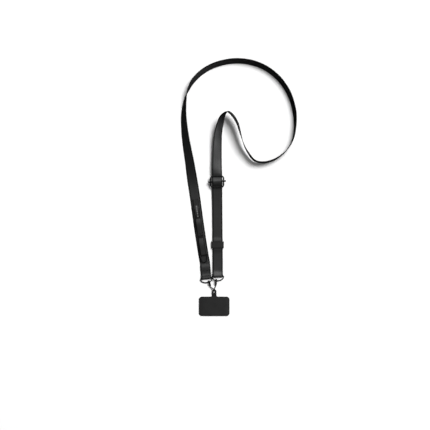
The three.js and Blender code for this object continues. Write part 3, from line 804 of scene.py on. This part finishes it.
def addTether():
    line = routeStations(tether["route"], 0.4 * mm)
    radius = tether["diameter"] / 2
    piece = carried("tetherCord", line, roundSection(radius, 16))
    fit(smoothed(piece, 60), "strap", paints["cord"], "cord", "tether_cord")
    print("tether made,", round(lengths(line)[-1], 4), "m long")


addTether()


# Phone tab: a thin card with a neck and an eyelet that is lifted off the table
tab = {
    "place": (-47.699, -203.128, 0.107), "thickness": 1.2, "outer": 4.4, "eyelet": 2.2, "lift": 2.15,
    "neck": 10.3, "fillet": 3, "width": 60, "height": 38, "corner": 6, "edge": 0.28,
}


def tabOutline():
    top = -tab["neck"]
    bottom = top - tab["height"]
    half, corner, fillet = tab["width"] / 2, tab["corner"], tab["fillet"]
    outline = arc(0, 0, tab["outer"], tab["outer"], 86, 0, 14)
    outline += [(tab["outer"], (top + fillet) * i / 8) for i in range(1, 8)]
    outline += arc(tab["outer"] + fillet, top + fillet, fillet, fillet, 180, 268, 8)
    outline += arc(half - corner, top - corner, corner, corner, 89, 0, 12)
    return outline + arc(half - corner, bottom + corner, corner, corner, 0, -90, 12)


def addTab():
    outline = tabOutline()
    rows = len(outline) - 1
    deselectAll()
    bpy.ops.mesh.primitive_grid_add(x_subdivisions=6, y_subdivisions=rows, size=2)
    piece = bpy.context.object
    piece.name = piece.data.name = "phoneTab"
    x0, y0, z0 = tab["place"]
    for vertex in piece.data.vertices:
        half, y = outline[round((1 - vertex.co.y) / 2 * rows)]
        t = (y + tab["neck"] - tab["fillet"] / 3) / (tab["neck"] - tab["fillet"])
        t = max(0.0, min(1.0, t))
        z = tab["lift"] * t * t * (3 - 2 * t)
        vertex.co = Vector((x0 + vertex.co.x * half, y0 + y, z0 + z)) * mm
    applyModifier(piece, "SOLIDIFY", {"thickness": tab["thickness"] * mm, "offset": 1})
    deselectAll()
    place = Vector((x0, y0, z0 + tab["lift"])) * mm
    radius = tab["eyelet"] * mm
    bpy.ops.mesh.primitive_cylinder_add(vertices=40, radius=radius, depth=8 * mm, location=place)
    punch = bpy.context.object
    applyModifier(piece, "BOOLEAN", {"object": punch, "operation": "DIFFERENCE", "solver": "EXACT"})
    bpy.data.objects.remove(punch)
    settings = {"width": tab["edge"] * mm, "segments": 3, "limit_method": "ANGLE"}
    applyModifier(piece, "BEVEL", {**settings, "angle_limit": math.radians(50)})
    fit(smoothed(piece, 40), "strap", paints["tab"], "tab", "phone_tab")


addTab()
print("tab made")


# Seams: one short stitch is modelled, and copied along them
thread = {
    "gauge": 0.42,
    "long": 2.1,
    "gap": 0.35,
    "tackPitch": 0.52,
    "box": (1.6, 10.6, 4.1),  # mm from the tape's top to its ends, and half its width
    "tapeTacks": (30.4, 32.6, 69.4, 71.6),
    "strapTacks": (7, 18.5),  # from the fold round the left ring
}

# Where a label would be: a row of plain satin-stitch bars
bars = {"first": 13.6, "pitch": 4.6, "long": 3.4, "wide": 2.6, "side": 0.2, "count": 5, "threads": 9}


# The station of a band at a distance along it, moved across it and out to its face
def onBand(stations, totals, along, across, rise):
    i = max(j for j in range(len(totals) - 1) if totals[j] <= along)
    a, b = stations[i], stations[i + 1]
    t = (along - totals[i]) / (totals[i + 1] - totals[i])
    middle, side = a["place"].lerp(b["place"], t), a["across"].lerp(b["across"], t)
    return middle + side * across + a["up"].lerp(b["up"], t) * rise


# The way out of the band's face there
def upOn(stations, totals, along, across):
    up = onBand(stations, totals, along, across, mm) - onBand(stations, totals, along, across, 0)
    return up.normalized()


def oneStitch():
    deselectAll()
    bpy.ops.mesh.primitive_uv_sphere_add(segments=6, ring_count=6, radius=0.5, rotation=(0, math.pi / 2, 0))
    stitch = bpy.context.object
    workOn(stitch)
    bpy.ops.object.transform_apply(location=True, rotation=True, scale=True)
    for vertex in stitch.data.vertices:
        # The poles stay, and the rings between them move out to make a rounded bar
        vertex.co.x = math.copysign(min(0.5, abs(vertex.co.x) * 1.5), vertex.co.x)
    return stitch


# Each run goes from one place to another on a face, and up is the face's direction
def sew(name, runs, surface, slot, gauge):
    stitch = oneStitch()
    copies = []
    for start, end, up in runs:
        run = end - start
        side = up.cross(run).normalized()
        copy = bpy.data.objects.new(name, stitch.data.copy())
        bpy.context.collection.objects.link(copy)
        turn = Matrix((run.normalized(), side, run.normalized().cross(side))).transposed().to_4x4()
        shape = Matrix.Diagonal((run.length, gauge, gauge * 0.8, 1))
        copy.data.transform(Matrix.Translation((start + end) / 2) @ turn @ shape)
        copies.append(copy)
    bpy.data.objects.remove(stitch)
    piece = joined(copies, name)
    piece.data.name = name
    return fit(smoothed(piece, 80), "strap", surface, slot)


# Stitches end to end along a line drawn on a band's face, in millimetres along and across
def seamRuns(stations, corners, rise):
    totals = lengths(stations)
    runs = []
    for (u0, v0), (u1, v1) in zip(corners, corners[1:]):
        count = max(1, round(math.hypot(u1 - u0, v1 - v0) / thread["long"]))
        for i in range(count):
            ends = []
            for share in (i, i + 1 - thread["gap"] / 2):
                t = share / count
                u, v = u0 + (u1 - u0) * t, v0 + (v1 - v0) * t
                ends.append(onBand(stations, totals, u * mm, v * mm, rise))
            runs.append((*ends, upOn(stations, totals, u * mm, v * mm)))
    return runs


# A bar tack: stitches side by side across the band, each along it
def tackRuns(stations, along, width, long, rise):
    totals = lengths(stations)
    count = round(width / thread["tackPitch"])
    runs = []
    for i in range(count + 1):
        v = width * (i / count - 0.5)
        slant = thread["tackPitch"] * 0.4
        start = onBand(stations, totals, (along - long / 2) * mm, (v - slant) * mm, rise)
        end = onBand(stations, totals, (along + long / 2) * mm, (v + slant) * mm, rise)
        runs.append((start, end, upOn(stations, totals, along * mm, v * mm)))
    return runs


# A box with both its diagonals, drawn in two runs
def crossedBox(u0, u1, v):
    return [(u0, -v), (u0, v), (u1, v), (u1, -v), (u0, -v), (u1, v)], [(u0, v), (u1, -v)]


def barRuns(rise):
    totals = lengths(tapeLine)
    runs = []
    for i in range(bars["count"]):
        for j in range(bars["threads"]):
            u = bars["first"] + i * bars["pitch"] + bars["long"] * j / (bars["threads"] - 1)
            ends = []
            for side in (-0.5, 0.5):
                v = bars["side"] + side * bars["wide"]
                ends.append(onBand(tapeLine, totals, u * mm, v * mm, rise))
            runs.append((*ends, upOn(tapeLine, totals, u * mm, 0)))
    return runs


def addSeams():
    gauge = thread["gauge"] * mm
    tapeRise = tape["thickness"] / 2 + gauge * 0.1
    box, diagonal = crossedBox(*thread["box"])
    runs = seamRuns(tapeLine, box, tapeRise) + seamRuns(tapeLine, diagonal, tapeRise)
    for along in thread["tapeTacks"]:
        runs += tackRuns(tapeLine, along, 9.2, 2.2, tapeRise)
    sew("tapeStitching", runs, paints["thread"], "tape", gauge)

    strapRise = webbing["thickness"] / 2 + gauge * 0.1
    lowest = min(range(len(strapLine)), key=lambda i: strapLine[i]["place"].y)
    fold = lengths(strapLine)[lowest] / mm
    runs = []
    for along in thread["strapTacks"]:
        runs += tackRuns(strapLine, fold + along, 17, 2.4, strapRise)
    sew("strapStitching", runs, paints["thread"], "webbing", gauge)
    sew("tapeBars", barRuns(tapeRise), paints["mark"], "tape", gauge)
    print("seams made")


addSeams()


def addFloor():
    deselectAll()
    bpy.ops.mesh.primitive_plane_add(size=30, location=(0, 0, 0))
    floor = bpy.context.object
    floor.name = "table"
    floor.data.materials.append(paints["table"])
    floor.visible_glossy = False


studio = {
    "key": {"away": 9.6, "azimuth": 51, "elevation": 58, "size": 4.4, "power": 1230},
    "low": {"away": 2.4, "azimuth": 60, "elevation": 38, "size": 2.2, "power": 54},
    "side": {"away": 2.4, "azimuth": -30, "elevation": 16, "size": 2.2, "power": 42},
    "world": 0.25,
}


def addLight(name):
    settings = studio[name]
    a, e = math.radians(settings["azimuth"]), math.radians(settings["elevation"])
    direction = Vector((math.cos(a) * math.cos(e), math.sin(a) * math.cos(e), math.sin(e)))
    bpy.ops.object.light_add(type="AREA", location=direction * settings["away"])
    light = bpy.context.object
    light.name = name
    light.data.shape = "DISK"
    light.data.size = settings["size"]
    light.data.energy = settings["power"]
    light.rotation_euler = direction.to_track_quat("Z", "Y").to_euler()
    return light


def addStudio():
    addFloor()
    # The two lower lights give the gloss alone, and the key the rest
    addLight("key").visible_glossy = False
    addLight("low").visible_diffuse = False
    addLight("side").visible_diffuse = False
    world = bpy.data.worlds.new("studio")
    world.use_nodes = True
    background = world.node_tree.nodes["Background"]
    background.inputs["Strength"].default_value = studio["world"]
    background.inputs["Color"].default_value = (1, 1, 1, 1)
    world.cycles_visibility.glossy = False
    bpy.context.scene.world = world
    bpy.context.scene.view_settings.view_transform = "Standard"


addStudio()
print("studio made")
